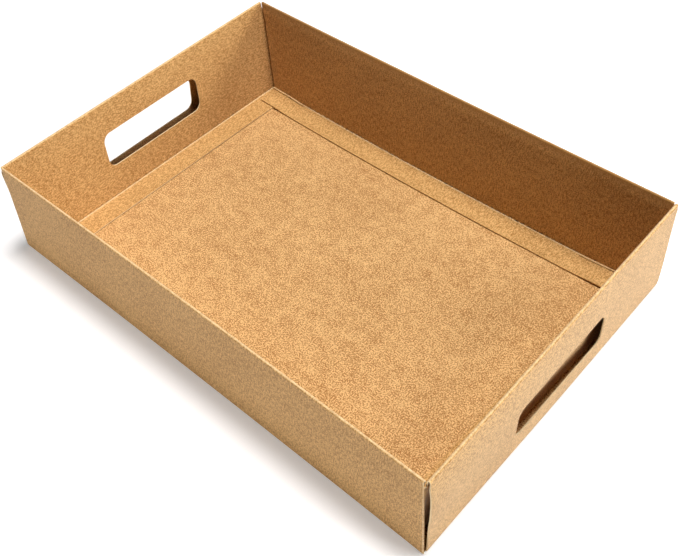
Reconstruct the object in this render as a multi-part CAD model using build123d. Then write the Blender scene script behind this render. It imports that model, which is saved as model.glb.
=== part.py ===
"""A shallow carrying tray, folded from one die-cut blank of thin kraft board.

Every wall is hollow: the sheet runs up the outside, rolls over the rim, comes down the
inside and ends in a flap that lies flat on the base. The fold where each flap leaves its
wall is perforated. The end walls have a hand hole through both layers. The long walls end
in tabs that fold into the hollow end walls.

Axes: X along the long walls, Y across the tray, Z up. The origin is at the middle of the
underside. Units are millimetres.
"""
import os
from math import asin, atan2, cos, hypot, sin

from build123d import *

# The board and its folds
board = 1.0                    # thickness of the board
lap_gap = 0.2                  # between two layers that lie on each other
edge_gap = 0.4                 # between a cut edge and the face that it meets
fold_bend = 0.3                # inside radius of a pressed fold
fold_flat = 0.6                # a perforated fold has its inside corner cut off flat by this

# The whole tray
rim_length = 452.6             # outside of one end rim to outside of the other
rim_width = 310.4              # outside of one long rim to outside of the other
tray_height = 94.0             # underside to the top of the rims

# The long walls
long_lean = 3.9                # the foot of the outer wall stands out from its rim by this
long_wall_foot = 15.8          # thickness of the hollow wall at the floor
long_roll_bend = 0.15          # inside radius of the tight roll at the rim
long_flap_width = 22.0         # from the foot of the inner wall to the flap's edge
long_flap_end_gap = 10.5       # from the inner end wall to the end of the flap
slit_length = 42.0             # the flap's fold is cut through for this far at each end
slit_width = 1.5               # width of that slit
long_end_gap = 0.7             # at the rim, between the long wall's end and the end wall

# The end walls
end_lean = 1.2                 # the foot of the outer wall stands out from its rim by this
end_wall_foot = 12.6           # thickness of the hollow wall at the floor
end_roll_bend = 0.5            # inside radius of the softer roll at the rim
shoulder_out = 3.4             # the outer wall is widest this far out from its rim
shoulder_drop = 25.0           # and this far below the rim
shoulder_bend = 40.0           # radius of that shoulder
end_flap_width = 24.5          # from the foot of the inner wall to the flap's edge
end_flap_tuck = 2.0            # the flap's ends reach this far under the long inner walls
end_rim_gap = 0.5              # from the end of the roll to the inside of the long rims
end_side_inset = 4.0           # from the side of the base to the outer wall's cut edge
end_corner_drop = 12.0         # height of the cut-away corner beside each end of the roll
end_corner_bend = 8.0          # radius of that corner

# The hand holes
hand_hole_width = 113.0
hand_hole_height = 35.0
hand_hole_corner = 9.0
hand_hole_drop = 26.5          # from the rim down to the hole in the inner wall
hand_hole_offset = 3.5         # the hole in the outer wall lies this much lower

# The perforations, which let the thick fold at the foot of each inner wall bend
cut_length = 3.0
cut_pitch = 6.0
cut_width = 0.5                # how far a cut stands open in the made-up tray

# The corner tabs
tab_length = 72.0              # from the outside of the long wall to the tab's end
tab_rim_drop = 11.0            # from the rim to the tab's top edge
tab_floor_gap = 2.0            # from the base to the tab's lower edge
tab_corner = 12.0              # radius of the tab's free corners
tab_bend_zone = 6.0            # length of the long wall that is made with its corner bend

# Sizes that follow
half_rim_width = rim_width / 2
half_base_width = half_rim_width + long_lean
half_foot_width = half_base_width - long_wall_foot
half_rim_length = rim_length / 2
half_base_length = half_rim_length + end_lean
half_foot_length = half_base_length - end_wall_foot
long_roll = board + long_roll_bend
end_roll = board + end_roll_bend
fold = board + fold_bend
flap_level = board + lap_gap
raised_level = flap_level + board + lap_gap
end_flap_inner = half_foot_length - end_flap_width
half_flap_length = half_foot_length - long_flap_end_gap
slit_start = half_flap_length - slit_length
half_roll_length = half_rim_width - 2 * long_roll - end_rim_gap
half_end_width = half_base_width - end_side_inset
long_end_rim = half_rim_length - board - long_end_gap
long_end_base = half_base_length - board - lap_gap
roll_zone = tray_height - long_roll - long_roll_bend - board
beyond = rim_length            # a reach that clears the tray on every side


def tangent_angle(point, centre, radius, side):
    """Direction of the line from a point that touches a circle on one side."""
    across, up = centre[0] - point[0], centre[1] - point[1]
    return atan2(up, across) + side * asin(radius / hypot(across, up))


def meeting_point(first, first_angle, second, second_angle):
    """Where two lines meet, each given by a point and a direction."""
    across, up = second[0] - first[0], second[1] - first[1]
    reach = (across * sin(second_angle) - up * cos(second_angle)) / sin(second_angle - first_angle)
    return first[0] + reach * cos(first_angle), first[1] + reach * sin(first_angle)


def roll_apex(flank, foot, roll_outside, roll_radius):
    """Where the visible faces of a wall would meet above its rim, if it had no roll."""
    centre = (roll_outside - roll_radius, tray_height - roll_radius)
    outer_angle = tangent_angle(flank, centre, roll_radius, -1)
    inner_angle = tangent_angle(foot, centre, roll_radius, 1)
    return meeting_point(flank, outer_angle, foot, inner_angle)


def stepped_in(line, amount):
    """A line of section points, moved towards the middle of the tray."""
    return [(out - amount, up) for out, up in line]


def flattened(before, corner, after):
    """The two points that cut off a corner between its neighbours on a line."""
    middle = Vector(corner)
    return [middle + (Vector(end) - middle).normalized() * fold_flat for end in (before, after)]


def sheet_face(points, bends):
    """A closed section of bent board, whose visible face follows the points."""
    line = FilletPolyline(*points, radius=bends)
    section = offset(line, amount=board, side=Side.LEFT, closed=True, kind=Kind.INTERSECTION)
    return make_face(section.edges())


def mirrored(shape, *planes):
    """The shape together with its mirror images in each of the planes."""
    for plane in planes:
        shape = shape + mirror(shape, about=plane)
    return shape


def along(points, half_length):
    """A prism along X with a polygon of (y, z) points as its section."""
    return extrude(Plane.YZ * make_face(Polyline(*points, close=True)), half_length, both=True)


def across(points, half_length):
    """A prism along Y with a polygon of (x, z) points as its section."""
    return extrude(Plane.XZ * make_face(Polyline(*points, close=True)), half_length, both=True)


def block(x_range, y_range, z_range):
    """A box between two places on each axis."""
    size = [end - start for start, end in (x_range, y_range, z_range)]
    return Pos(x_range[0], y_range[0], z_range[0]) * Box(*size, align=(Align.MIN,) * 3)


# The long wall on +Y with its half of the base, and the end wall on +X with its half
long_foot = (half_foot_width, flap_level + board)
long_apex = roll_apex((half_base_width, 0), long_foot, half_rim_width, long_roll)
long_flap_edge = (half_foot_width - long_flap_width, flap_level + board)
long_fold = flattened(long_apex, long_foot, long_flap_edge)
long_section = sheet_face(
    [(0, 0), (half_base_width, 0), long_apex, *long_fold, long_flap_edge],
    [fold, long_roll, 0, 0])

# The outer face of the long wall up to its apex, and the board measured level across it
long_side = [(half_base_width, 0), long_apex]
board_across = board * hypot(half_base_width - long_apex[0], long_apex[1]) / long_apex[1]

end_foot = (half_foot_length, flap_level + board)
shoulder = (half_rim_length + shoulder_out, tray_height - shoulder_drop)
end_apex = roll_apex(shoulder, end_foot, half_rim_length, end_roll)
end_flap_edge = (end_flap_inner, flap_level + board)
end_fold = flattened(end_apex, end_foot, end_flap_edge)
end_section = sheet_face(
    [(0, 0), (half_base_length, 0), shoulder, end_apex, *end_fold, end_flap_edge],
    [fold, shoulder_bend, end_roll, 0, 0])


def end_face_at(height):
    """Distance from the middle to the visible face of an inner end wall at a height."""
    share = (height - end_foot[1]) / (end_apex[1] - end_foot[1])
    return end_foot[0] + share * (end_apex[0] - end_foot[0])


def long_wall():
    """One long wall: outer wall, roll, inner wall and the middle of its flap."""
    wall = extrude(Plane.YZ * long_section, half_base_length, both=True)
    past_the_end = across(
        [(long_end_base, 0), (long_end_rim, tray_height), (long_end_rim, beyond),
         (beyond, beyond), (beyond, 0)], beyond)
    # The inner wall stops at the face of the inner end wall, up to the roll
    past_the_inner_end = across(
        [(half_foot_length - edge_gap, board + lap_gap / 2),
         (end_face_at(roll_zone) - edge_gap, roll_zone),
         (beyond, roll_zone), (beyond, board + lap_gap / 2)], beyond)
    hollow_side = stepped_in(long_side, board_across + lap_gap / 2)
    inside_outer_wall = along([(0, 0), *hollow_side, (0, long_apex[1])], beyond)
    # The flap's end and its fold are cut away here, and the end is made again as a ramp
    cut_fold = block((slit_start, beyond), (0, half_foot_width + long_wall_foot / 2),
                     (board + lap_gap / 2, raised_level))
    cuts = past_the_end + (past_the_inner_end & inside_outer_wall) + cut_fold
    fold_row = Pos(0, *long_foot) * perforations(slit_start - cut_pitch / 2)
    return wall - mirrored(cuts, Plane.YZ) - fold_row


def flap_end():
    """The end of a long flap, which climbs from the base on to the end wall's flap."""
    ramp_end = end_flap_inner - edge_gap
    underside = [(slit_start, flap_level), (ramp_end, raised_level), (half_flap_length, raised_level)]
    top = [(x, z + board) for x, z in reversed(underside)]
    strip = across(underside + top, beyond)
    flap_edge = half_foot_width - long_flap_width
    return strip & block((0, beyond), (flap_edge, half_foot_width - slit_width), (0, beyond))


def end_wall():
    """One end wall: outer wall, roll, inner wall and flap, with its hand hole."""
    wall = extrude(Plane.XZ * end_section, half_end_width, both=True)
    roll_middle = half_rim_length - end_roll
    corner = (half_end_width, tray_height - 2 * end_roll - end_corner_drop)
    side = [(half_roll_length, beyond), (half_roll_length, tray_height - 2 * end_roll),
            corner, (half_end_width, -board)]
    outline = make_face(Polyline(*side, *[(-y, z) for y, z in reversed(side)], close=True))
    corners = outline.vertices().filter_by(lambda vertex: abs(vertex.Y - corner[1]) < edge_gap)
    outer_panel = extrude(Plane.YZ * fillet(corners, end_corner_bend), beyond)
    inner_panel = block((0, roll_middle), (-half_roll_length, half_roll_length), (-board, beyond))
    base_panel = block((0, roll_middle), (-half_end_width, half_end_width), (-board, flap_level))
    trimmed = wall & (outer_panel - block((0, roll_middle), (-beyond, beyond), (-board, beyond))
                      + inner_panel + base_panel)
    # The flap is cut shorter than its wall, to tuck under the feet of the long inner walls
    beside_flap = block((0, half_foot_length + end_wall_foot / 2),
                        (half_foot_width + end_flap_tuck, beyond),
                        (board + lap_gap / 2, flap_level + board))
    row_length = half_foot_width - cut_pitch / 2
    fold_row = Pos(end_foot[0], 0, end_foot[1]) * Rot(Z=-90) * perforations(row_length)
    return trimmed - mirrored(beside_flap, Plane.XZ) - fold_row - hand_holes()


def perforations(half_length):
    """Cutting shape for the row of short cuts through the fold at y = 0 and z = 0.

    The board comes down the far side of the fold and runs out of it towards -Y.
    """
    count = int(2 * half_length / cut_pitch)
    across_the_bend = Rot(X=45) * Box(cut_length, cut_width, 4 * board)
    row = Part() + [place * across_the_bend for place in GridLocations(cut_pitch, 0, count, 1)]
    return row & block((-beyond, beyond), (-2 * board, 2 * board), (-board - lap_gap / 2, 2 * board))


def hand_holes():
    """Cutting shape for the holes in the inner and the outer layer of one end wall."""
    profile = RectangleRounded(hand_hole_width, hand_hole_height, hand_hole_corner)
    middle = tray_height - hand_hole_drop - hand_hole_height / 2
    inner = extrude(Plane.YZ * Pos(0, middle) * profile, half_rim_length - end_roll)
    outer = extrude(Plane.YZ * Pos(0, middle - hand_hole_offset) * profile, beyond)
    in_the_hollow = half_rim_length - end_roll
    outer_only = outer & block((in_the_hollow, beyond), (-beyond, beyond), (0, beyond))
    return inner + outer_only


def leaning_block(inset, bend):
    """What lies within the outer faces of the long walls and the tabs, less an inset."""
    ends = stepped_in([(long_end_base, 0), (long_end_rim, tray_height)], inset)
    sides = stepped_in(long_side, inset)
    body = (across(ends + [(-x, z) for x, z in reversed(ends)], beyond)
            & along(sides + [(-y, z) for y, z in reversed(sides)], beyond))
    uprights = body.edges().filter_by(lambda edge: abs(edge.tangent_at(0).Z) > 0.5)
    return fillet(uprights, bend)


def corner_tab():
    """The +X +Y corner: the end of the long outer wall, its bend and the tab beyond it."""
    tab_end = half_base_width - tab_length
    low, high = board + tab_floor_gap, tray_height - tab_rim_drop
    bend_start = long_end_rim - tab_bend_zone
    zone = block((bend_start, beyond), (tab_end, beyond), (low, high))
    free_edges = zone.edges().filter_by(Axis.X).group_by(Axis.Y)[0]
    shell = leaning_block(0, fold) - leaning_block(board_across, fold_bend)
    return shell & fillet(free_edges, tab_corner)


def corner_zone():
    """What the corner tab replaces of the long outer wall."""
    hollow_side = stepped_in(long_side, board_across + lap_gap / 2)
    outer_wall = along(long_side + hollow_side[::-1], beyond)
    return outer_wall & block((long_end_rim - tab_bend_zone, beyond), (0, beyond),
                              (board + tab_floor_gap, tray_height - tab_rim_drop))


side_wall = long_wall() - mirrored(corner_zone(), Plane.YZ)
corner = flap_end() + corner_tab()
long_sides = mirrored(side_wall + mirrored(corner, Plane.YZ), Plane.XZ)
end_sides = mirrored(end_wall(), Plane.YZ)
tray = long_sides + end_sides
tray.label = "tray"

os.makedirs("parts", exist_ok=True)
export_step(tray, "parts/tray.step")
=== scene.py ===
"""A shallow carrying tray, folded from one die-cut blank of kraft board.

The blank is drawn flat, with its fold lines, hand holes, tabs and perforations, divided
into small triangles and folded up. Each wall is hollow: the board runs up the outside,
rolls over the rim, comes down the inside and ends in a flap on the base.
"""
from math import cos, pi, radians, sin

import bpy
import numpy as np
from mathutils import Matrix, Vector, geometry


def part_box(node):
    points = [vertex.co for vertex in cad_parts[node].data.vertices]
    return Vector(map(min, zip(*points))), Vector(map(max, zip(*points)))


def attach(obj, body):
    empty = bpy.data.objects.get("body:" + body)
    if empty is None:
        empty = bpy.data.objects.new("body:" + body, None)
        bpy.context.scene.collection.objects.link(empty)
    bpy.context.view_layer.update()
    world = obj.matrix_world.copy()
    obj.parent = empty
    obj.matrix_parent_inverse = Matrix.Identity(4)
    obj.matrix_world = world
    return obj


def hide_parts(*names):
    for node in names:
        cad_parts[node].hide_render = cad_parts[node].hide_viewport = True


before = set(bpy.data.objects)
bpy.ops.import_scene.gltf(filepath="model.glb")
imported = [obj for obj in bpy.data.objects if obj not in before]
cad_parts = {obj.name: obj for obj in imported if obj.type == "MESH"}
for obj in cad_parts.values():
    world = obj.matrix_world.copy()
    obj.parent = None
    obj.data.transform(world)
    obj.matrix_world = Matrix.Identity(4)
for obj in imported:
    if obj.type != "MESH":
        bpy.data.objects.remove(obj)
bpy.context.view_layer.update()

bl_info = {
    "name": "Folded kraft tray",
    "version": (1, 0, 0),
    "blender": (4, 5, 0),
    "location": "3D View > Sidebar > Tray",
    "description": "Folds a carrying tray from its flat blank and lights it on a pale floor",
    "category": "Object",
}

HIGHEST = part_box("tray")[1]
MM = 0.001
PHOTO_WIDTH = 679               # pixels
SENSOR_WIDTH = 36.0             # millimetres
FLOOR_REACH = 2.4               # metres from the middle of the floor to its sides


def size(name, description, length):
    """A length in the panel. Its default is given in millimetres."""
    return bpy.props.FloatProperty(
        name=name, description=description, default=length * MM, unit="LENGTH", precision=5)


def share(name, description, default):
    """A number from 0 to 1 in the panel."""
    return bpy.props.FloatProperty(
        name=name, description=description, default=default, min=0, max=1, subtype="FACTOR")


def paint(name, description, default):
    """A colour in the panel."""
    return bpy.props.FloatVectorProperty(
        name=name, description=description, default=default, min=0, max=1, subtype="COLOR")


def turn(name, description, degrees):
    """An angle in the panel."""
    return bpy.props.FloatProperty(
        name=name, description=description, default=radians(degrees), subtype="ANGLE")


def strength(name, description, default):
    """The power of a lamp, or the strength of a light, in the panel."""
    return bpy.props.FloatProperty(name=name, description=description, default=default, min=0)


class TraySizes(bpy.types.PropertyGroup):
    """Sizes of the tray and of its folds"""
    board: size("Board", "Thickness of the board", 1.0)
    height: size("Height", "Underside to the top of the rims", HIGHEST.z / MM)
    lap: size("Lap gap", "Between two layers that lie on each other", 0.2)
    fold: size("Fold", "Outside radius of a pressed fold", 1.3)
    foot_bend: size("Foot bend", "Inside radius of a perforated fold", 0.3)

    foot_width: size("Width at the foot", "Over the long walls", 2 * HIGHEST.y / MM - 1.0)
    rim_width: size("Width at the rim", "Over the long walls", 310.4)
    long_thickness: size("Long wall", "Thickness of the hollow wall at the floor", 18.8)
    long_roll: size("Long roll", "Outside radius of the rolled rim", 1.15)
    long_flap: size("Long flap", "Width of the flap on the base", 23.3)
    long_flap_half: size("Long flap end", "From the middle to the flap's end", 204.0)
    slit_start: size("Slit", "From the middle to where the flap is slit", 162.4)
    lip: size("Lip", "Width of the lip between the fold and the slit", 1.4)
    slit_width: size("Slit width", "Width of that slit", 0.9)
    seam: size("Seam", "The corner seams are this wide below their tops", 1.8)
    seam_top: size("Seam top", "Height at which they reach that width", 78.0)

    foot_length: size("Length at the foot", "Over the end walls", 455.0)
    rim_length: size("Length at the rim", "Over the end walls", 452.6)
    end_thickness: size("End wall", "Thickness of the hollow wall at the floor", 12.6)
    end_roll: size("End roll", "Outside radius of the rolled rim", 1.4)
    end_flap: size("End flap", "Width of the flap on the base", 23.0)
    end_flap_half: size("End flap end", "From the middle to the flap's end", 146.0)
    end_inner_half: size("End inner panel", "From its middle to its side", 153.2)
    end_outer_half: size("End outer panel", "From its middle to its side", 154.6)
    end_corner: size("End corner", "Height of the corner cut beside the roll", 5.0)

    tab_reach: size("Tab", "From the outside of the long wall to the tab's end", 72.0)
    tab_low: size("Tab foot", "Height of the tab's lower edge", 1.5)
    tab_high: size("Tab top", "Height of the tab's upper edge", 87.0)
    tab_corner: size("Tab corner", "Radius of the tab's free corners", 12.0)
    tab_fold: size("Tab fold", "Outside radius of the tab's fold", 0.7)
    long_end_lean: size("End lean", "The long wall is this much shorter at the rim", 3.8)
    tab_inset: size("Tab inset", "From the end of the base in to the tab's fold", 0.6)

    hole_width: size("Hole width", "Width of a hand hole", 112.5)
    hole_height: size("Hole height", "Height of a hand hole", 33.5)
    hole_corner: size("Hole corner", "Radius of its corners", 8.0)
    hole_top: size("Hole top", "Height of the inner hole's upper edge", 65.3)
    hole_offset: size("Hole offset", "The outer layer's hole is this much lower", 5.0)

    cut_length: size("Cut", "Length of a perforation", 3.2)
    cut_pitch: size("Cut pitch", "From one perforation to the next", 6.5)
    tongue: size("Tongue", "How far the flap reaches into the wall at a perforation", 1.4)


class TrayShape(bpy.types.PropertyGroup):
    """How the folded tray is out of true, mostly the same after a half turn about the upright axis"""
    rim_bow: size("Rim bow", "The long rims bow inwards by this at mid-length", 1.2)
    base_bow: size("Base bow", "The long sides of the base bow inwards by this", 1.0)
    base_skew: size("Base skew", "The base's long sides stand this far off at their ends", 0.5)
    foot_bow: size("Foot bow", "The feet of the long inner walls bow inwards by this", 4.7)
    foot_shift: size("Foot shift", "Their innermost place is this far from the middle", 25.0)
    end_shift: size("End shift", "Both ends' inner panels stand this far to the right", 3.15)
    end_slide: size("End slide", "The end walls stand this far along their folds", 0.7)
    left_turn: turn("Left turn", "The left-hand end's fold on the base is turned by this", 0.67)
    right_turn: turn("Right turn", "The right-hand end's fold on the base is turned by this", 1.6)
    spread_near: size("Near spread", "An end's foot stands out by this at one corner", 0.4)
    spread_far: size("Far spread", "An end's foot stands out by this at the other corner", 1.6)
    high_bulge: size("High bulge", "Bulge of the end walls near the rim", 2.2)
    low_bulge: size("Low bulge", "Bulge of the end walls near the base", 0.6)
    middle_bulge: size("Middle bulge", "Bulge of the end walls at mid-length", 0.9)
    inner_bow: size("Inner bow", "The inner panels bow inwards by this", 0.8)
    flap_lift: size("Flap lift", "The flaps' edges stand this far off the base", 0.5)
    hole_shift: size("Hole shift", "The left-hand hole stands this far to the front", 3.8)
    hole_slant: turn("Hole slant", "The left-hand hole's ends lean by this", 6)
    hole_drop: size("Hole drop", "The right-hand outer hole stands this much lower", 3.5)


class BoardFinish(bpy.types.PropertyGroup):
    """Colours and finish of the kraft board"""
    outside: paint("Outer liner", "Smooth liner on the walls and flaps", (0.735, 0.45, 0.175))
    outside_dark: paint("Outer fibres", "Its darker fibres", (0.36, 0.18, 0.046))
    inside: paint("Inner liner", "Coarse liner on the base", (0.80, 0.51, 0.22))
    inside_dark: paint("Inner fibres", "Its darker fibres", (0.36, 0.17, 0.05))
    edge: paint("Cut edge", "Raw edge of the board and its worn folds", (0.95, 0.75, 0.44))
    roughness: share("Roughness", "Roughness of the liners", 0.75)
    edge_roughness: share("Edge roughness", "Roughness of the cut edges", 0.8)
    gloss: share("Gloss", "How strongly the board reflects", 0.15)
    sheen: share("Sheen", "How pale the liners' fibres are at a flat angle", 0.45)
    sheen_roughness: share("Sheen roughness", "How widely that shows", 0.4)
    wear: share("Wear", "How pale the worn folds are", 0.8)


class StageSettings(bpy.types.PropertyGroup):
    """Camera, lamps and floor"""
    camera_place: bpy.props.FloatVectorProperty(
        name="Camera", description="Place of the camera", unit="LENGTH", precision=4,
        default=(0.3794, -0.3719, 0.6006))
    camera_heading: turn("Heading", "Turn of the view from +Y towards -X", 44.855)
    camera_pitch: turn("Pitch", "How far the view looks down", 49.516)
    camera_roll: turn("Roll", "Turn about the view's own axis", -4.228)
    focal_pixels: bpy.props.FloatProperty(
        name="Focal length", description="In pixels of the photograph", default=914.4)
    top: strength("Top lamp", "Soft lamp above, in watts", 62.5)
    side: strength("Side lamp", "Lamp beyond the right-hand back corner, in watts", 22)
    low_side: strength("Low side lamp", "Lamp below the side lamp, in watts", 8)
    high_side: strength("High side lamp", "Lamp over the right-hand end, in watts", 6)
    end: strength("End lamp", "Lamp on the floor beyond the right-hand end, in watts", 6)
    front: strength("Front lamp", "Lamp on the floor before the front wall, in watts", 19)
    lamp_colour: paint("Lamp colour", "Colour of the lamps' light", (1.0, 0.97, 0.97))
    end_colour: paint("End colour", "Colour of the end and the low side lamp", (0.75, 0.9, 1.0))
    sky: strength("Sky", "Even light from all round", 0.01)
    floor: paint("Floor", "Colour of the floor", (0.8, 0.8, 0.8))
    floor_glow: strength("Floor glow", "Brightness that only the camera sees", 0.35)


def unit_vectors(vectors):
    """The vectors, each made one long."""
    return vectors / np.linalg.norm(vectors, axis=-1, keepdims=True)


def left_of(headings):
    """Each heading turned a quarter turn to its left, which is the way through the board."""
    return np.stack([-headings[..., 1], headings[..., 0]], -1)


def turned(headings, angles):
    """Each heading turned to its left by an angle."""
    return headings * np.cos(angles)[:, None] + left_of(headings) * np.sin(angles)[:, None]


def stretch(low, high, values):
    """0 up to the low value, 1 from the high one, with a smooth climb between."""
    step = np.clip((values - low) / (high - low), 0, 1)
    return step * step * (3 - 2 * step)


def hump(values, half):
    """1 in the middle, 0 at both ends."""
    return 1 - np.clip(values / half, -1, 1) ** 2


# Parts of a wall, in the order in which the board reaches them
BASE, BASE_FOLD, OUTSIDE, RIM, INSIDE, FOOT, FLAP = range(7)

HIGH_PEAK, MIDDLE_PEAK, LOW_PEAK = 0.72, 0.5, 0.28      # of the bulges, as shares of a panel
HIGH_FADE = 1.25            # the high bulge fades by this from the near corner to the far one
SPREAD_WAY = 0.6            # share of an end's length after which its foot has its far spread
SLIDE_RISE = 10 * MM        # from an end's fold on the base to where it stands at its full slide
HELD, FREE = 28 * MM, 45 * MM       # from an end flap's ends: held down, and free to lift
TAB_SETTLE = 2 * MM         # how soon a tab lies against the inner panel


class WallSection:
    """One wall seen end on, from the middle of the base to the edge of its flap.

    Its panels are straight and its folds are round. Points are (out, up), and each may hold
    one value for every vertex, because the wall's shape changes along its length.
    """

    def __init__(self, corners, radii):
        corners = [np.stack(np.broadcast_arrays(*corner), -1).astype(float) for corner in corners]
        corners = np.broadcast_arrays(*[np.atleast_2d(corner) for corner in corners])
        headings = [unit_vectors(after - before) for before, after in zip(corners, corners[1:])]
        self.panels = []
        self.folds = []
        start = corners[0]
        for corner, radius, before, after in zip(corners[1:-1], radii, headings, headings[1:]):
            angle = np.arctan2((left_of(before) * after).sum(-1), (before * after).sum(-1))
            reach = radius * np.tan(np.abs(angle) / 2)[:, None]
            self.panels.append((start, corner - before * reach))
            self.folds.append((corner - before * reach, before, angle, radius))
            start = corner + after * reach
        self.panels.append((start, corners[-1]))

    def marks(self):
        """Flat distances from the middle of the base to the end of each part."""
        lengths = [float(np.linalg.norm((end - start)[0])) for start, end in self.panels]
        for place, (_, _, angle, radius) in enumerate(self.folds):
            lengths.insert(2 * place + 1, float(abs(angle[0]) * radius))
        return np.cumsum(lengths)

    def flat_at(self, part, height):
        """Flat distance to a height on one of the panels."""
        start, end = (point[0] for point in self.panels[part // 2])
        reached = (height - start[1]) / (end[1] - start[1])
        marks = self.marks()
        return marks[part - 1] + reached * (marks[part] - marks[part - 1])

    def place(self, part, reached):
        """Points on the outer liner, and the way through the board there."""
        where = np.zeros((len(part), 2))
        through = np.zeros((len(part), 2))
        for index, (start, end) in enumerate(self.panels):
            here = part == 2 * index
            run = (end - start)[here]
            where[here] = start[here] + run * reached[here, None]
            through[here] = left_of(unit_vectors(run))
        for index, (start, heading, angle, radius) in enumerate(self.folds):
            here = part == 2 * index + 1
            side = (radius * np.sign(angle))[here, None]
            now = turned(heading[here], (angle * reached)[here])
            where[here] = start[here] + (left_of(heading[here]) - left_of(now)) * side
            through[here] = left_of(now)
        return where, through


def roll_apex(flank, foot, rim, height, radius):
    """Where the faces of a wall would meet above its rim, if the rim had no roll."""
    lines = []
    for (out, up), side in ((flank, -1), (foot, 1)):
        across, rise = rim - radius - out, height - radius - up
        angle = np.arctan2(rise, across) + side * np.arcsin(radius / np.hypot(across, rise))
        lines.append((out, up, angle))
    (out, up, angle), (other_out, other_up, other) = lines
    across, rise = other_out - out, other_up - up
    reach = (across * np.sin(other) - rise * np.cos(other)) / np.sin(other - angle)
    return out + reach * np.cos(angle), up + reach * np.sin(angle)


def flap_level(sizes):
    """Height of a flap's upper face. A flap lies on the base, with a lap gap under it."""
    return 2 * sizes.board + sizes.lap


def long_section(sizes, shape, along):
    """The shape of a long wall, at distances from its middle towards its far end."""
    half = sizes.foot_length / 2
    middle = hump(along, half)
    level = flap_level(sizes)
    base = sizes.foot_width / 2 - shape.base_bow * middle + shape.base_skew * along / half
    rim = sizes.rim_width / 2 - shape.rim_bow * middle
    foot = sizes.foot_width / 2 - sizes.long_thickness
    foot += shape.foot_bow * ((along + shape.foot_shift) / half) ** 2
    apex = roll_apex((base, 0), (foot, level), rim, sizes.height, sizes.long_roll)
    return WallSection([(0, 0), (base, 0), apex, (foot, level), (foot - sizes.long_flap, level)],
                       [sizes.fold, sizes.long_roll, sizes.foot_bend])


def end_foot(sizes, shape, end, along):
    """Distance from the middle of the tray to the foot of an end's inner panel."""
    foot = sizes.foot_length / 2 - sizes.end_thickness + shape.end_shift * end
    return foot + along * np.tan(np.where(np.asarray(end) > 0, shape.right_turn, shape.left_turn))


def end_section(sizes, shape, end, along):
    """The shape of an end wall, at distances from its middle towards its far corner."""
    way = along / (2 * sizes.end_outer_half) + 0.5
    spread = shape.spread_near
    spread = spread + (shape.spread_far - shape.spread_near) * stretch(0, SPREAD_WAY, way)
    level = flap_level(sizes)
    base = sizes.foot_length / 2 + spread
    foot = end_foot(sizes, shape, end, along)
    apex = roll_apex((base, 0), (foot, level), sizes.rim_length / 2, sizes.height, sizes.end_roll)
    return WallSection([(0, 0), (base, 0), apex, (foot, level), (foot - sizes.end_flap, level)],
                       [sizes.fold, sizes.end_roll, sizes.foot_bend])


def arc(centre, radius, start, end, steps):
    """Points of an arc, with its angles in quarter turns."""
    angles = np.linspace(start, end, steps + 1) * pi / 2
    return [(centre[0] + radius * cos(angle), centre[1] + radius * sin(angle)) for angle in angles]


def rounded_box(width, height, radius, steps):
    """Outline of a rectangle with round corners, about its middle."""
    across, up = width / 2 - radius, height / 2 - radius
    path = []
    for start, middle in enumerate([(across, up), (-across, up), (-across, -up), (across, -up)]):
        path += arc(middle, radius, start, start + 1, steps)
    return path


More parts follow.
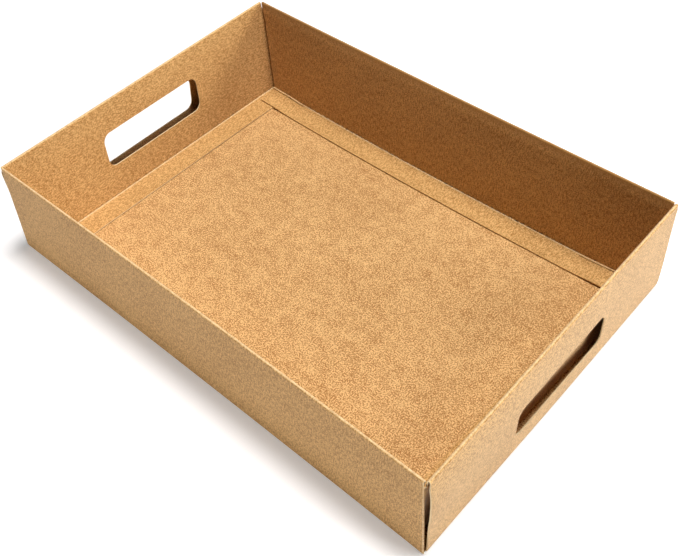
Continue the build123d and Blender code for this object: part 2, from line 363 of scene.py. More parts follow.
class Blank:
    """The flat blank: its outline, openings and fold lines, in metres from its middle."""

    ARC_STEPS = 4               # across a pressed fold
    FOOT_STEPS = 3              # across a perforated fold
    RIM_STEPS = 10              # round a rim
    CORNER_STEPS = 8            # round a corner of a tab, a hand hole or an end panel
    COLUMN = 6 * MM             # between points along a wall
    ROW = 7 * MM                # between points up a wall
    BASE_COLUMN = 15 * MM       # between points on the base
    TAB_ROWS = (0.8 * MM, 2 * MM, 4 * MM, 7 * MM, 12 * MM)      # from a tab's fold
    GRID_EDGE = 2 * MM          # from the end of a wall to its first column of points
    # How worn each fold is: its part, the share of it from which and up to which it is worn,
    # how worn it is there, and how far that fades on both sides
    WEAR = [(BASE_FOLD, 0, 1, 0.3, 0.8 * MM, 0.8 * MM), (RIM, 0.42, 0.72, 0.8, 0.3 * MM, 0.5 * MM),
            (FOOT, 0, 1, 0.9, 0.15 * MM, 1.2 * MM)]
    CORNER_WEAR = 0.7 * MM      # how far the wear beside a tab's fold reaches
    END_RIM_WEAR = 0.8          # share of that wear on the rims of the ends
    BACK_RIM_PAINTED_SHADE = -0.8        # the back rim gets painted shade instead of wear
    RIM_EDGE = 1 * MM           # how far a rim's wear, or the back rim's painted shade, reaches past its roll
    HAIR = 0.15 * MM            # width of a knife cut
    GAP = 0.4 * MM              # between a panel's end and the panel that it meets

    def __init__(self, sizes, shape):
        self.sizes = sizes
        self.shape = shape
        middle = np.zeros(1)
        self.long = long_section(sizes, shape, middle)
        self.end = end_section(sizes, shape, 0, middle)
        self.long_marks = self.long.marks()
        self.end_marks = self.end.marks()
        self.points = []
        self.lines = []

    def wall_end(self, height):
        """Distance to the corner bend of a long outer wall at a height."""
        start = self.end_marks[BASE] - self.sizes.tab_fold - self.sizes.tab_inset
        return start - self.sizes.long_end_lean * height / self.sizes.height

    def inner_end(self, height):
        """Distance to the end of a long inner panel, which meets the end wall's inner panel."""
        start, end = (point[0] for point in self.end.panels[INSIDE // 2])
        reached = (height - start[1]) / (end[1] - start[1])
        return start[0] + reached * (end[0] - start[0]) - self.GAP

    def quarter_outline(self):
        """Edge of a quarter of the blank, from an end flap round to a long flap."""
        sizes, long, end = self.sizes, self.long_marks, self.end_marks
        level = flap_level(sizes)
        wide = self.end.flat_at(INSIDE, level + sizes.lap)
        corner_top = sizes.height - 2 * sizes.end_roll
        path = [(end[FLAP], 0), (end[FLAP], sizes.end_flap_half), (wide, sizes.end_flap_half),
                (wide, sizes.end_inner_half)]
        wider = sizes.end_outer_half - sizes.end_inner_half
        for step in np.linspace(0, 1, self.CORNER_STEPS + 1):
            height = corner_top - step * sizes.end_corner
            half = sizes.end_inner_half + stretch(0, 1, step) * wider
            path.append((self.end.flat_at(OUTSIDE, height), half))
        path += [(end[BASE], sizes.end_outer_half), (end[BASE], long[BASE])]
        path += self.tab_outline()
        ledge = sizes.height - 2 * sizes.long_roll
        path += [(self.inner_end(ledge), long[RIM]),
                 (self.inner_end(ledge), self.long.flat_at(INSIDE, ledge))]
        seam_top = self.long.flat_at(INSIDE, sizes.seam_top)
        slit = long[FOOT] + sizes.lip
        slit_far = slit + sizes.slit_width
        path += [(self.inner_end(sizes.seam_top) - sizes.seam, seam_top),
                 (self.inner_end(level) - sizes.seam, slit), (sizes.slit_start, slit),
                 (sizes.slit_start, slit_far), (sizes.long_flap_half, slit_far),
                 (sizes.long_flap_half, long[FLAP]), (0, long[FLAP])]
        return np.array(path)

    def tab_outline(self):
        """The end of a long outer wall, with its tab."""
        sizes = self.sizes
        low = self.long.flat_at(OUTSIDE, sizes.tab_low)
        high = self.long.flat_at(OUTSIDE, sizes.tab_high)
        radius = sizes.tab_corner
        across = self.wall_end(0) + sizes.tab_reach - radius
        path = [(self.wall_end(0), self.long_marks[BASE_FOLD]), (self.wall_end(sizes.tab_low), low)]
        path += arc((across, low + radius), radius, -1, 0, self.CORNER_STEPS)
        path += arc((across, high - radius), radius, 0, 1, self.CORNER_STEPS)
        path += [(self.wall_end(sizes.tab_high), high),
                 (self.wall_end(sizes.height), self.long_marks[OUTSIDE])]
        return path

    def outline(self):
        """Edge of the whole blank."""
        quarter = self.quarter_outline()
        back = quarter[::-1]
        turns = [quarter, (back * (-1, 1))[1:], (quarter * (-1, -1))[1:], (back * (1, -1))[1:-1]]
        return np.concatenate(turns)

    def hand_holes(self):
        """Outlines of the holes in both layers of both end walls."""
        sizes, shape = self.sizes, self.shape
        box = rounded_box(
            sizes.hole_width, sizes.hole_height, sizes.hole_corner, self.CORNER_STEPS)
        level = sizes.hole_top - sizes.hole_height / 2
        outer_level = level - sizes.hole_offset
        lean = np.tan(shape.hole_slant)
        # The end, its layer, the height of the hole's middle, and its shift and slant
        places = [(-1, INSIDE, level, -shape.hole_shift, lean),
                  (-1, OUTSIDE, outer_level, -shape.hole_shift, lean),
                  (1, INSIDE, level, 0, 0), (1, OUTSIDE, outer_level - shape.hole_drop, 0, 0)]
        holes = []
        for end, part, middle, shift, slant in places:
            holes.append(np.array([
                (end * self.end.flat_at(part, middle + up), across + shift + slant * up)
                for across, up in box]))
        return holes

    def perforations(self):
        """Outlines of the cuts along the four folds at the feet of the inner walls.

        Each cut goes round three sides of a small tongue, which stays flat with the flap.
        """
        cuts = []
        hair, half = self.HAIR, self.sizes.cut_length / 2
        for marks, middle, is_long in self.cut_places():
            foot = marks[FOOT]
            top = foot - self.sizes.tongue
            path = np.array([(middle - half, foot), (middle - half, top), (middle + half, top),
                             (middle + half, foot), (middle + half - hair, foot),
                             (middle + half - hair, top + 2 * hair),
                             (middle - half + hair, top + 2 * hair), (middle - half + hair, foot)])
            path = path if is_long else path[:, ::-1]
            cuts += [path, path * ((1, -1) if is_long else (-1, 1))]
        return cuts

    def cut_places(self):
        """Where the middles of the perforations are along their folds."""
        pitch = self.sizes.cut_pitch
        rows = [(self.long_marks, self.sizes.slit_start, True),
                (self.end_marks, self.sizes.end_flap_half - pitch / 2, False)]
        for marks, half, is_long in rows:
            count = int(2 * half / pitch)
            for number in range(count):
                yield marks, (number - (count - 1) / 2) * pitch, is_long

    def in_tongue(self, marks, along, distances):
        """Whether flat places on a wall belong to one of its tongues."""
        half = self.sizes.cut_length / 2 - self.HAIR / 2
        found = np.zeros(len(along), bool)
        for own, middle, _ in self.cut_places():
            if own is marks:
                found |= np.abs(along - middle) < half
        top = marks[FOOT] - self.sizes.tongue + self.HAIR
        return found & (distances > top) & (distances < marks[FOOT])

    def fold_rows(self, marks):
        """Flat distances at which a wall needs a row of points."""
        rows = []
        steps = {BASE_FOLD: self.ARC_STEPS, RIM: self.RIM_STEPS, FOOT: self.FOOT_STEPS}
        for part, count in steps.items():
            rows += list(np.linspace(marks[part - 1], marks[part], count + 1))
        for part, _, _, _, before, after in self.WEAR:
            rows += [marks[part - 1] - before, marks[part] + after / 2, marks[part] + after]
        return rows

    def wear(self, marks, distances):
        """1 on a wall's worn folds, fading to 0 beside them. A rim is worn on its inner side."""
        worn = np.zeros(len(distances))
        for part, start, end, most, before, after in self.WEAR:
            length = marks[part] - marks[part - 1]
            low, high = marks[part - 1] + start * length, marks[part - 1] + end * length
            outside = np.maximum((low - distances) / before, (distances - high) / after)
            worn = np.maximum(worn, most * np.clip(1.5 - 1.5 * outside, 0, 1))
        return worn

    def on_rim(self, marks, distances):
        """Whether flat distances on a wall lie on its rim."""
        return (distances > marks[OUTSIDE]) & (distances < marks[RIM] + self.RIM_EDGE)

    def wear_and_painted_light_of_folds(self, flat):
        """1 on every worn fold, fading to 0 beside it, and 1 on the tongues as a painted highlight.
        Less than 0 on the back rim, which gets painted shade.
        """
        across, up = np.abs(flat).T
        worn = np.maximum(self.wear(self.long_marks, up) * (across < self.end_marks[BASE]),
                          self.wear(self.end_marks, across) * (up < self.long_marks[BASE]))
        # The tongues are painted fully pale, a painted highlight, though they lie in the wall's shade
        worn[self.in_tongue(self.long_marks, flat[:, 0], up)] = 1
        worn[self.in_tongue(self.end_marks, flat[:, 1], across)] = 1
        part, reached = locate(self.long_marks, up)
        past = np.abs(across - self.wall_end(reached * self.sizes.height))
        worn = np.maximum(worn, (part == OUTSIDE) * (1 - np.clip(past / self.CORNER_WEAR, 0, 1)))
        # Painted shade: the back rim gets a value below 0, which darkens it towards the dark fibres
        worn[self.on_rim(self.long_marks, flat[:, 1])] = self.BACK_RIM_PAINTED_SHADE
        worn[self.on_rim(self.end_marks, across)] *= self.END_RIM_WEAR
        return worn

    def add_points(self, places):
        """Adds points and gives their numbers."""
        first = len(self.points)
        self.points += [tuple(place) for place in places]
        return range(first, len(self.points))

    def add_loop(self, path):
        """Adds a closed line of points."""
        numbers = self.add_points(path)
        self.lines += zip(numbers, [*numbers[1:], numbers[0]])

    def add_line(self, start, end):
        """Adds a straight line in short steps, so that it can bow."""
        count = int(np.linalg.norm(np.subtract(end, start)) / self.COLUMN) + 1
        numbers = self.add_points(np.linspace(start, end, count + 1))
        self.lines += zip(numbers, numbers[1:])

    def add_folds(self):
        """Adds the fold lines of the walls and the tabs."""
        long_half, end_half = self.end_marks[BASE], self.sizes.end_outer_half
        for side in (-1, 1):
            for row in self.fold_rows(self.long_marks):
                self.add_line((-long_half, side * row), (long_half, side * row))
            for row in self.fold_rows(self.end_marks):
                self.add_line((side * row, -end_half), (side * row, end_half))
        fold = list(np.linspace(0, self.sizes.tab_fold * pi / 2, self.ARC_STEPS))
        for step in [-self.CORNER_WEAR] + fold + [fold[-1] + row for row in self.TAB_ROWS]:
            ends = np.array([(self.wall_end(height) + step, self.long.flat_at(OUTSIDE, height))
                             for height in (self.sizes.tab_low, self.sizes.tab_high)])
            for across in (-1, 1):
                for side in (-1, 1):
                    self.add_line(*(ends * (across, side)))

    def add_grid(self):
        """Adds loose points, so that the panels can bow."""
        for marks, other, swap in ((self.long_marks, self.end_marks, False),
                                   (self.end_marks, self.long_marks, True)):
            half = other[BASE] - self.GRID_EDGE
            columns = np.linspace(-half, half, int(2 * half / self.COLUMN) + 1)
            for part in (OUTSIDE, INSIDE, FLAP):
                count = int((marks[part] - marks[part - 1]) / self.ROW) + 1
                rows = np.linspace(marks[part - 1], marks[part], count + 1)[1:-1]
                places = crossings(columns, rows)
                if swap:
                    places = places[:, ::-1]
                self.add_points(np.concatenate([places, -places]))
        columns = np.arange(-self.end_marks[BASE], self.end_marks[BASE], self.BASE_COLUMN)[1:]
        rows = np.arange(-self.long_marks[BASE], self.long_marks[BASE], self.BASE_COLUMN)[1:]
        self.add_points(crossings(columns, rows))

    def triangles(self):
        """Points and triangles of the blank."""
        outline = self.outline()
        openings = self.hand_holes() + self.perforations()
        for path in [divided(outline, self.COLUMN)] + openings:
            self.add_loop(path)
        self.add_folds()
        self.add_grid()
        flat = [Vector(point) / MM for point in self.points]
        as_near = 1e-4              # millimetres between points that are taken for one
        points, _, faces, *_ = geometry.delaunay_2d_cdt(flat, self.lines, [], 0, as_near, False)
        points = np.array([tuple(point) for point in points]) * MM
        faces = np.array(faces)
        middles = points[faces].mean(1)
        kept = inside(outline, middles)
        for path in openings:
            near = np.all((middles > path.min(0)) & (middles < path.max(0)), axis=1)
            near[near] = inside(path, middles[near])
            kept &= ~near
        if not kept.any():
            raise ValueError("No triangle lies inside the blank")
        faces = faces[kept]
        used, faces = np.unique(faces, return_inverse=True)
        return points[used], faces.reshape(-1, 3)


def crossings(columns, rows):
    """Every place where a column crosses a row."""
    return np.stack(np.meshgrid(columns, rows), -1).reshape(-1, 2)


def divided(path, longest):
    """A closed line with points added, so that none of its steps is longer than a given length."""
    made = []
    for start, end in zip(path, np.roll(path, -1, axis=0)):
        count = int(np.linalg.norm(end - start) / longest) + 1
        made += [start + (end - start) * step / count for step in range(count)]
    return np.array(made)


def inside(path, points):
    """Whether each point lies inside a closed line."""
    start, end = path, np.roll(path, -1, axis=0)
    across, up = points[:, None, 0], points[:, None, 1]
    spans = (start[:, 1] > up) != (end[:, 1] > up)
    rise = end[:, 1] - start[:, 1]
    rise = np.where(rise == 0, 1, rise)
    crossing = start[:, 0] + (up - start[:, 1]) / rise * (end[:, 0] - start[:, 0])
    return (spans & (across < crossing)).sum(1) % 2 == 1


def locate(marks, distances):
    """The part of a wall that each flat distance falls in, and how far along that part."""
    part = np.clip(np.searchsorted(marks, distances), 0, len(marks) - 1)
    starts = np.concatenate([[0], marks[:-1]])
    reached = (distances - starts[part]) / (marks[part] - starts[part])
    return part, np.clip(reached, 0, 1)


def bump(reached, peak):
    """A hill over a panel that is 0 at both ends and 1 at its peak."""
    power = peak / (1 - peak)
    top = (peak ** power) * (1 - peak)
    return reached ** power * (1 - reached) / top


def keep_tongues_flat(blank, section, marks, along, distances, where, through):
    """Lays the tongues at the perforations flat with the flap."""
    tongue = blank.in_tongue(marks, along, distances)
    root, tip = section.panels[FLAP // 2]
    way = np.broadcast_to(unit_vectors(tip - root), where.shape)
    root = np.broadcast_to(root, where.shape)
    beyond = (marks[FOOT] - distances)[tongue, None]
    where[tongue] = root[tongue] - way[tongue] * beyond
    through[tongue] = left_of(way[tongue])


def climbed(part, reached):
    """Share of the wall's height that the board has reached, up the outside and down the inside."""
    heights = [reached, np.ones_like(reached), 1 - reached]
    return np.select([part == OUTSIDE, part == RIM, part == INSIDE], heights, 0)


def bent_tab(sizes, beyond, room):
    """How far forward and inward of its corner a tab is, and how far it has turned.

    It bends round the corner and then settles against the end wall's inner panel.
    """
    angle = np.minimum(beyond / sizes.tab_fold, pi / 2)
    past = np.maximum(beyond - sizes.tab_fold * pi / 2, 0)
    forward = sizes.tab_fold * np.sin(angle) + room * (1 - np.exp(-past / TAB_SETTLE))
    return forward, sizes.tab_fold * (1 - np.cos(angle)) + past, angle


def fold_long_walls(blank, flat):
    """Places of the long walls' points, and the way through the board there."""
    sizes, shape = blank.sizes, blank.shape
    end, side = np.sign(flat).T
    along, distances = np.abs(flat).T
    part, reached = locate(blank.long_marks, distances)
    risen = climbed(part, reached)
    is_outer = part == OUTSIDE
    corner = blank.wall_end(risen * sizes.height)
    on_wall = np.where(is_outer, np.minimum(along, corner), along)
    section = long_section(sizes, shape, on_wall * end * side)
    where, through = section.place(part, reached)
    keep_tongues_flat(blank, section, blank.long_marks, flat[:, 0], distances, where, through)
    bow = shape.inner_bow * bump(reached, MIDDLE_PEAK) * hump(on_wall, sizes.foot_length / 2)
    where -= through * np.where(part == INSIDE, bow, 0)[:, None]
    # The ends of the flaps, and the feet above them, climb on to the flaps of the end walls
    foot = sizes.foot_length / 2 - sizes.end_thickness
    climb = stretch(sizes.slit_start, foot - sizes.end_flap + shape.end_shift * end, along)
    climb = climb * (sizes.board + sizes.lap)
    where[:, 1] += climb * np.select([part > INSIDE, part == INSIDE], [1, reached ** 2], 0)
    where[:, 1] += shape.flap_lift * np.where(part == FLAP, reached ** 2, 0)
    # The inner panels end at those of the end walls
    own_foot = end_foot(sizes, shape, end, side * end * where[:, 0])
    shift = (own_foot - foot) * stretch(sizes.slit_start, foot, along) * (1 - risen)
    lip_edge = blank.long_marks[FOOT] + sizes.lip + blank.HAIR
    shift = np.where((part >= INSIDE) & (distances < lip_edge), shift, 0)
    # The outer panels follow the spread feet of the end walls
    spread = np.where(side * end > 0, shape.spread_far, shape.spread_near)
    spread = spread * (1 - risen) * stretch(sizes.slit_start, sizes.foot_length / 2, along)
    # The tabs lie a lap gap behind the end walls' inner panels
    inner_face = own_foot + (sizes.rim_length / 2 - 2 * sizes.end_roll - own_foot) * risen
    tab_face = inner_face + 2 * sizes.board + sizes.lap
    beyond = np.where(is_outer, np.maximum(along - corner, 0), 0)
    forward, inward, angle = bent_tab(sizes, beyond, tab_face - corner - sizes.tab_fold - spread)
    places = np.stack([end * (on_wall + forward + shift + np.where(is_outer, spread, 0)),
                       side * (where[:, 0] - inward), where[:, 1]], -1)
    ways = np.stack([-end * np.sin(angle), side * np.cos(angle) * through[:, 0], through[:, 1]], -1)
    return places, unit_vectors(ways)


def fold_end_walls(blank, flat):
    """Places of the end walls' points, and the way through the board there."""
    sizes, shape = blank.sizes, blank.shape
    end = np.sign(flat[:, 0])
    distances = np.abs(flat[:, 0])
    along = flat[:, 1] * end
    part, reached = locate(blank.end_marks, distances)
    section = end_section(sizes, shape, end, along)
    where, through = section.place(part, reached)
    keep_tongues_flat(blank, section, blank.end_marks, flat[:, 1], distances, where, through)
    way = np.clip(along / (2 * sizes.end_outer_half) + 0.5, 0, 1)
    middle = bump(reached, MIDDLE_PEAK) * hump(along, sizes.end_outer_half)
    bulge = shape.high_bulge * bump(reached, HIGH_PEAK) * (1 - HIGH_FADE * way)
    bulge += shape.low_bulge * bump(reached, LOW_PEAK) * way + shape.middle_bulge * middle
    out = np.select([part == OUTSIDE, part == INSIDE], [bulge, shape.inner_bow * middle], 0)
    where -= through * out[:, None]
    lift = shape.flap_lift * stretch(HELD, FREE, sizes.end_flap_half - np.abs(along))
    where[:, 1] += lift * np.where(part == FLAP, reached ** 2, 0)
    # The walls stand a little along their folds. The inner panels come back towards their feet
    slide = shape.end_slide * stretch(0, SLIDE_RISE, distances - blank.end_marks[BASE_FOLD])
    slide = slide * np.where(part == INSIDE, 1 - reached, part < INSIDE)
    places = np.stack([end * where[:, 0], flat[:, 1] + end * slide, where[:, 1]], -1)
    ways = np.stack([end * through[:, 0], 0 * end, through[:, 1]], -1)
    return places, ways


def fold_base(blank, flat):
    """Places of the base's points. The base keeps to the feet of the walls."""
    sizes, shape = blank.sizes, blank.shape
    end, side = np.sign(flat).T
    long_edge = long_section(sizes, shape, flat[:, 0] * side).panels[BASE][1][:, 0]
    end_edge = end_section(sizes, shape, end, flat[:, 1] * end).panels[BASE][1][:, 0]
    edges = np.array([blank.end_marks[BASE], blank.long_marks[BASE]])
    moved = (np.stack([end_edge, long_edge], -1) - edges) * (flat / edges) ** 2
    places = np.hstack([flat + np.sign(flat) * moved, np.zeros((len(flat), 1))])
    return places, np.tile([0.0, 0.0, 1.0], (len(flat), 1))


def folded(blank, flat):
    """Both faces of the folded board, for the points of the flat blank."""
    tiny = 1e-7
    is_long = np.abs(flat[:, 1]) > blank.long_marks[BASE] + tiny
    is_end = (np.abs(flat[:, 0]) > blank.end_marks[BASE] + tiny) & ~is_long
    places, ways = fold_base(blank, flat)
    places[is_long], ways[is_long] = fold_long_walls(blank, flat[is_long])
    places[is_end], ways[is_end] = fold_end_walls(blank, flat[is_end])
    return places, places + ways * blank.sizes.board


def boundary(faces):
    """Edges that only one triangle has, in that triangle's direction."""
    edges = np.concatenate([faces[:, [0, 1]], faces[:, [1, 2]], faces[:, [2, 0]]])
    ordered = np.sort(edges, axis=1)
    _, first, count = np.unique(ordered, axis=0, return_index=True, return_counts=True)
    return edges[first[count == 1]]


OUTER_LINER, INNER_LINER, CUT_EDGE = range(3)
SHARP_ANGLE = radians(50)       # an edge of the mesh that turns by more than this stays sharp


def board_mesh(name, flat, faces, outer, inner, worn):
    """A mesh of board with two faces and its cut edges."""
    count = len(outer)
    corner = outer[faces]
    facing = np.cross(corner[:, 1] - corner[:, 0], corner[:, 2] - corner[:, 0])
    through = (inner - outer)[faces[:, 0]]
    # The triangles of each face look away from the other one
    if (facing * through).sum() > 0:
        faces = faces[:, ::-1]
    rim = boundary(faces)
    walls = np.stack([rim[:, 1], rim[:, 0], rim[:, 0] + count, rim[:, 1] + count], -1)
    polygons = faces.tolist() + (faces[:, ::-1] + count).tolist() + walls.tolist()
    mesh = bpy.data.meshes.new(name)
    mesh.from_pydata(np.concatenate([outer, inner]).tolist(), [], polygons)
    kinds = [OUTER_LINER] * len(faces) + [INNER_LINER] * len(faces) + [CUT_EDGE] * len(walls)
    mesh.polygons.foreach_set("material_index", kinds)
    mesh.shade_smooth()
    mesh.set_sharp_from_angle(angle=SHARP_ANGLE)
    # The pattern of the fibres follows the flat blank, with another part of it on each face
    layer = mesh.attributes.new("blank", "FLOAT_VECTOR", "POINT")
    face_side = np.repeat([[0.0], [1.0]], count, axis=0)
    layer.data.foreach_set("vector", np.hstack([np.tile(flat, (2, 1)), face_side]).ravel())
    # Wear of the folds, with a painted highlight on the tongues and painted shade on the back rim
    layer = mesh.attributes.new("worn", "FLOAT", "POINT")
    layer.data.foreach_set("value", np.tile(worn, 2))
    mesh.update()
    return mesh


class Value:
    """A shader socket that can be used in sums, so that worn * -1 adds its Math node."""

    def __init__(self, shader, socket):
        self.shader = shader
        self.socket = socket

    def maths(self, operation, first, second):
        """Adds a Math node."""
        return self.shader.value("ShaderNodeMath", {"operation": operation}, {0: first, 1: second})

    def __add__(self, other):
        return self.maths("ADD", self, other)

    def __radd__(self, other):
        return self.maths("ADD", other, self)

    def __sub__(self, other):
        return self.maths("SUBTRACT", self, other)

    def __rsub__(self, other):
        return self.maths("SUBTRACT", other, self)

    def __mul__(self, other):
        return self.maths("MULTIPLY", self, other)

    def __rmul__(self, other):
        return self.maths("MULTIPLY", other, self)


class Shader:
    """The nodes of one material, or of the world."""

    def __init__(self, owner):
        owner.use_nodes = True
        self.tree = owner.node_tree
        self.tree.nodes.clear()

    def node(self, kind, settings, sockets):
        """Adds a node: its settings first, then the values or links of its sockets."""
        node = self.tree.nodes.new(kind)
        for name, setting in settings.items():
            if name == "stops":
                ramp = node.color_ramp.elements
                while len(ramp) < len(setting):
                    ramp.new(1)
                for element, (place, level) in zip(ramp, setting):
                    element.position = place
                    element.color = (level, level, level, 1)
            else:
                setattr(node, name, setting)
        for name, value in sockets.items():
            if isinstance(value, Value):
                self.tree.links.new(value.socket, node.inputs[name])
            else:
                node.inputs[name].default_value = value
        return node

    def value(self, kind, settings, sockets, output=0):
        """Adds a node and gives one of its outputs."""
        return Value(self, self.node(kind, settings, sockets).outputs[output])

    def attribute(self, name, output):
        """What the mesh holds at each of its points."""
        return self.value("ShaderNodeAttribute", {"attribute_name": name}, {}, output)

    def give(self, surface):
        """Gives the material its surface."""
        self.node("ShaderNodeOutputMaterial", {}, {"Surface": surface})

    def noise(self, place, scale, detail, roughness):
        """Soft random patches, from 0 to 1."""
        return self.value("ShaderNodeTexNoise", {}, {
            "Vector": place, "Scale": scale, "Detail": detail, "Roughness": roughness})

    def levels(self, value, *stops):
        """The value through a ramp of (place, level) stops."""
        return self.value("ShaderNodeValToRGB", {"stops": stops}, {0: value})

    def stretched(self, place, factors):
        """A place multiplied on each axis."""
        return self.value("ShaderNodeVectorMath", {"operation": "MULTIPLY"}, {0: place, 1: factors})

    def mixed(self, factor, first, second):
        """A mix of two colours, whose sockets on the node come after those for plain values."""
        return self.value("ShaderNodeMix", {"data_type": "RGBA"},
                          {0: factor, 6: first, 7: second}, output=2)


def opaque(colour):
    """A colour with its alpha."""
    return (*colour, 1.0)


def board_material(name, light, dark, finish, coarse):
    """Kraft liner: mottled fibres, with coarse from 0, smooth, to 1, rough and speckled."""
    material = bpy.data.materials.new(name)
    shader = Shader(material)
    place = shader.attribute("blank", "Vector")
    # The folds' wear, with the tongues' painted highlight and the back rim's painted shade
    worn = shader.attribute("worn", "Fac")
    grain = shader.noise(place, 900, 1.0, 0.5)
    streaks = shader.noise(shader.stretched(place, (1.0, 0.3, 1.0)), 800, 1.0, 0.5)
    tufts = shader.noise(place, 300, 2.0, 0.6)
    blotches = shader.noise(place, 90, 3.0, 0.55)
    clouds = shader.noise(place, 14, 2.0, 0.5)
    mottle = (grain - 0.5) * (3.0 + 1.6 * coarse) + (streaks - 0.5) * (2.0 - 1.0 * coarse)
    mottle = mottle + (tufts - 0.5) * 0.8
    mottle = mottle + (blotches - 0.5) * (0.5 + 0.6 * coarse) + (clouds - 0.5) * 0.5
    shade = shader.levels(mottle + 0.5, (0.0, 1.0), (1.0, 0.0))
    colour = shader.mixed(shade, opaque(light), opaque(dark))
    specks = shader.levels(shader.noise(place, 200, 2.0, 0.6), (0.62, 0.0), (0.72, 1.0))
    colour = shader.mixed(specks * (0.1 + 0.4 * coarse), colour, opaque(dark))
    # Worn folds turn pale, and so do the tongues, as a painted highlight
    wear_and_painted_highlight = worn * (0.75 + (tufts - 0.5) * 1.2) * finish.wear
    colour = shader.mixed(wear_and_painted_highlight, colour, opaque(finish.edge))
    # Painted shade: below 0, on the back rim, the colour goes towards the dark fibres
    colour = shader.mixed(worn * -1, colour, opaque(dark))
    height = grain * 0.6 + streaks * 0.4
    bumped = shader.value("ShaderNodeBump", {}, {"Strength": 0.3 + 0.15 * coarse,
                                                 "Distance": 0.0002, "Height": height})
    rough = finish.roughness + 0.1 * coarse + (grain - 0.5) * 0.12
    surface = shader.value("ShaderNodeBsdfPrincipled", {}, {
        "Base Color": colour, "Roughness": rough, "Normal": bumped,
        "Specular IOR Level": finish.gloss, "Sheen Weight": finish.sheen,
        "Sheen Roughness": finish.sheen_roughness})
    shader.give(surface)
    return material


def edge_material(name, finish):
    """The raw cut edge of the board, paler than the liners."""
    material = bpy.data.materials.new(name)
    shader = Shader(material)
    fibres = shader.noise(shader.attribute("blank", "Vector"), 900, 3.0, 0.6)
    shade = shader.levels(fibres, (0.35, 1.0), (0.65, 0.0))
    dark = opaque([0.75 * channel for channel in finish.edge])
    surface = shader.value("ShaderNodeBsdfPrincipled", {}, {
        "Base Color": shader.mixed(shade, opaque(finish.edge), dark),
        "Roughness": finish.edge_roughness, "Specular IOR Level": finish.gloss})
    shader.give(surface)
    return material


def added(scene, name, data):
    """A new object in the scene."""
    made = bpy.data.objects.new(name, data)
    scene.collection.objects.link(made)
    return made


class TRAY_OT_fold_blank(bpy.types.Operator):
    """Folds the tray from its flat blank"""
    bl_idname = "tray.fold_blank"
    bl_label = "Fold the tray"

    def execute(self, context):
        scene = context.scene
        finish = scene.tray_finish
        blank = Blank(scene.tray_sizes, scene.tray_shape)
        flat, faces = blank.triangles()
        outer, inner = folded(blank, flat)
        mesh = board_mesh("folded_tray", flat, faces, outer, inner, blank.wear_and_painted_light_of_folds(flat))
        materials = [
            board_material("kraft_outer_liner", finish.outside, finish.outside_dark, finish, 0.0),
            board_material("kraft_inner_liner", finish.inside, finish.inside_dark, finish, 1.0),
            edge_material("kraft_cut_edge", finish)]
        for material in materials:
            mesh.materials.append(material)
        tray = added(scene, "folded_tray", mesh)
        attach(tray, "root")
        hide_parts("tray")
        return {"FINISHED"}


def camera_rays_or(shader, seen, other):
    """One surface for what the camera sees, straight or in a reflection, and one for the rest."""
    path = shader.node("ShaderNodeLightPath", {}, {})
    camera, glossy, transmission = (
        Value(shader, path.outputs[f"Is {kind} Ray"]) for kind in ("Camera", "Glossy", "Transmission"))
    seen_part = camera + glossy + transmission
    return shader.value("ShaderNodeMixShader", {}, {0: seen_part, 1: other, 2: seen})


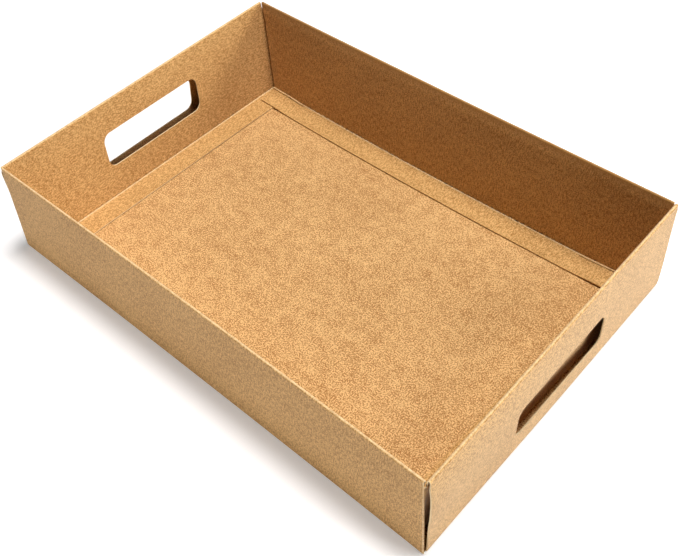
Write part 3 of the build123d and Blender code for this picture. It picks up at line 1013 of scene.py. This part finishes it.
class TRAY_OT_set_stage(bpy.types.Operator):
    """Lays the floor, hangs the lamps and sets the sky and the camera"""
    bl_idname = "tray.set_stage"
    bl_label = "Set the stage"

    def execute(self, context):
        scene = context.scene
        stage = scene.tray_stage
        self.lay_floor(scene, stage)
        self.set_sky(scene, stage)
        self.set_camera(scene, stage)
        self.hang_lamps(scene, stage)
        scene.view_settings.view_transform = "Standard"
        return {"FINISHED"}

    def lay_floor(self, scene, stage):
        """A plain pale floor. Its glow is for the camera alone, and its shadow stays."""
        reach = FLOOR_REACH
        mesh = bpy.data.meshes.new("studio_floor")
        corners = [(-reach, -reach, 0), (reach, -reach, 0), (reach, reach, 0), (-reach, reach, 0)]
        mesh.from_pydata(corners, [], [(0, 1, 2, 3)])
        floor = added(scene, "studio_floor", mesh)
        material = bpy.data.materials.new("studio_floor")
        shader = Shader(material)
        plain = shader.value("ShaderNodeBsdfDiffuse", {}, {"Color": opaque(stage.floor)})
        glow = shader.value("ShaderNodeEmission", {}, {"Strength": stage.floor_glow})
        lit = shader.value("ShaderNodeAddShader", {}, {0: plain, 1: glow})
        shader.give(camera_rays_or(shader, lit, plain))
        mesh.materials.append(material)

    def set_sky(self, scene, stage):
        """White for the camera, and faint for everything else."""
        world = bpy.data.worlds.new("studio_sky")
        scene.world = world
        shader = Shader(world)
        white, sky = (
            shader.value("ShaderNodeBackground", {}, {"Strength": level, "Color": (1, 1, 1, 1)})
            for level in (1.0, stage.sky))
        shader.node("ShaderNodeOutputWorld", {}, {"Surface": camera_rays_or(shader, white, sky)})

    def set_camera(self, scene, stage):
        """The camera at the photograph's angle."""
        heading, pitch = stage.camera_heading, stage.camera_pitch
        forward = Vector((-sin(heading) * cos(pitch), cos(heading) * cos(pitch), -sin(pitch)))
        level = forward.cross(Vector((0, 0, 1))).normalized()
        right = Matrix.Rotation(stage.camera_roll, 3, -forward) @ level
        up = right.cross(forward)
        camera = bpy.data.cameras.new("photo_camera")
        camera.sensor_width = SENSOR_WIDTH
        camera.lens = stage.focal_pixels * SENSOR_WIDTH / PHOTO_WIDTH
        view = added(scene, "photo_camera", camera)
        turned_to = Matrix((right, up, -forward)).transposed().to_4x4()
        view.matrix_world = Matrix.Translation(stage.camera_place) @ turned_to
        scene.camera = view

    def hang_lamps(self, scene, stage):
        """Soft square lamps round the tray, turned to its middle. Widths and places are in metres."""
        lamps = [("top_lamp", stage.top, 0.6, (0.15, 0.36, 2.4), stage.lamp_colour),
                 ("side_lamp", stage.side, 0.5, (1.9, 1.2, 0.75), stage.lamp_colour),
                 ("low_side_lamp", stage.low_side, 0.4, (2.0, 1.2, 0.37), stage.end_colour),
                 ("high_side_lamp", stage.high_side, 0.3, (1.5, 0.35, 1.2), stage.lamp_colour),
                 ("end_lamp", stage.end, 0.16, (2.0, 0.5, 0.1), stage.end_colour),
                 ("front_lamp", stage.front, 0.16, (-0.3, -2.3, 0.1), stage.lamp_colour)]
        for name, power, width, place, colour in lamps:
            lamp = bpy.data.lights.new(name, "AREA")
            lamp.energy = power
            lamp.color = colour
            lamp.size = width
            holder = added(scene, name, lamp)
            holder.location = place
            holder.rotation_euler = (-Vector(place)).to_track_quat("-Z", "Y").to_euler()


class TRAY_PT_panel(bpy.types.Panel):
    """Sizes, finish and stage of the tray"""
    bl_idname = "TRAY_PT_panel"
    bl_label = "Folded kraft tray"
    bl_space_type = "VIEW_3D"
    bl_region_type = "UI"
    bl_category = "Tray"

    def draw(self, context):
        for operator in OPERATORS:
            self.layout.operator(operator.bl_idname)
        for name in GROUPS:
            group = getattr(context.scene, name)
            for prop in group.bl_rna.properties:
                if prop.identifier not in ("rna_type", "name"):
                    self.layout.prop(group, prop.identifier)


OPERATORS = (TRAY_OT_fold_blank, TRAY_OT_set_stage)
GROUPS = {"tray_sizes": TraySizes, "tray_shape": TrayShape, "tray_finish": BoardFinish,
          "tray_stage": StageSettings}


def register():
    for kind in (*GROUPS.values(), *OPERATORS, TRAY_PT_panel):
        bpy.utils.register_class(kind)
    for name, kind in GROUPS.items():
        setattr(bpy.types.Scene, name, bpy.props.PointerProperty(type=kind))


def unregister():
    for name in GROUPS:
        delattr(bpy.types.Scene, name)
    for kind in (TRAY_PT_panel, *OPERATORS, *GROUPS.values()):
        bpy.utils.unregister_class(kind)


def main():
    register()
    bpy.ops.tray.fold_blank()
    bpy.ops.tray.set_stage()


if __name__ == "__main__":
    main()
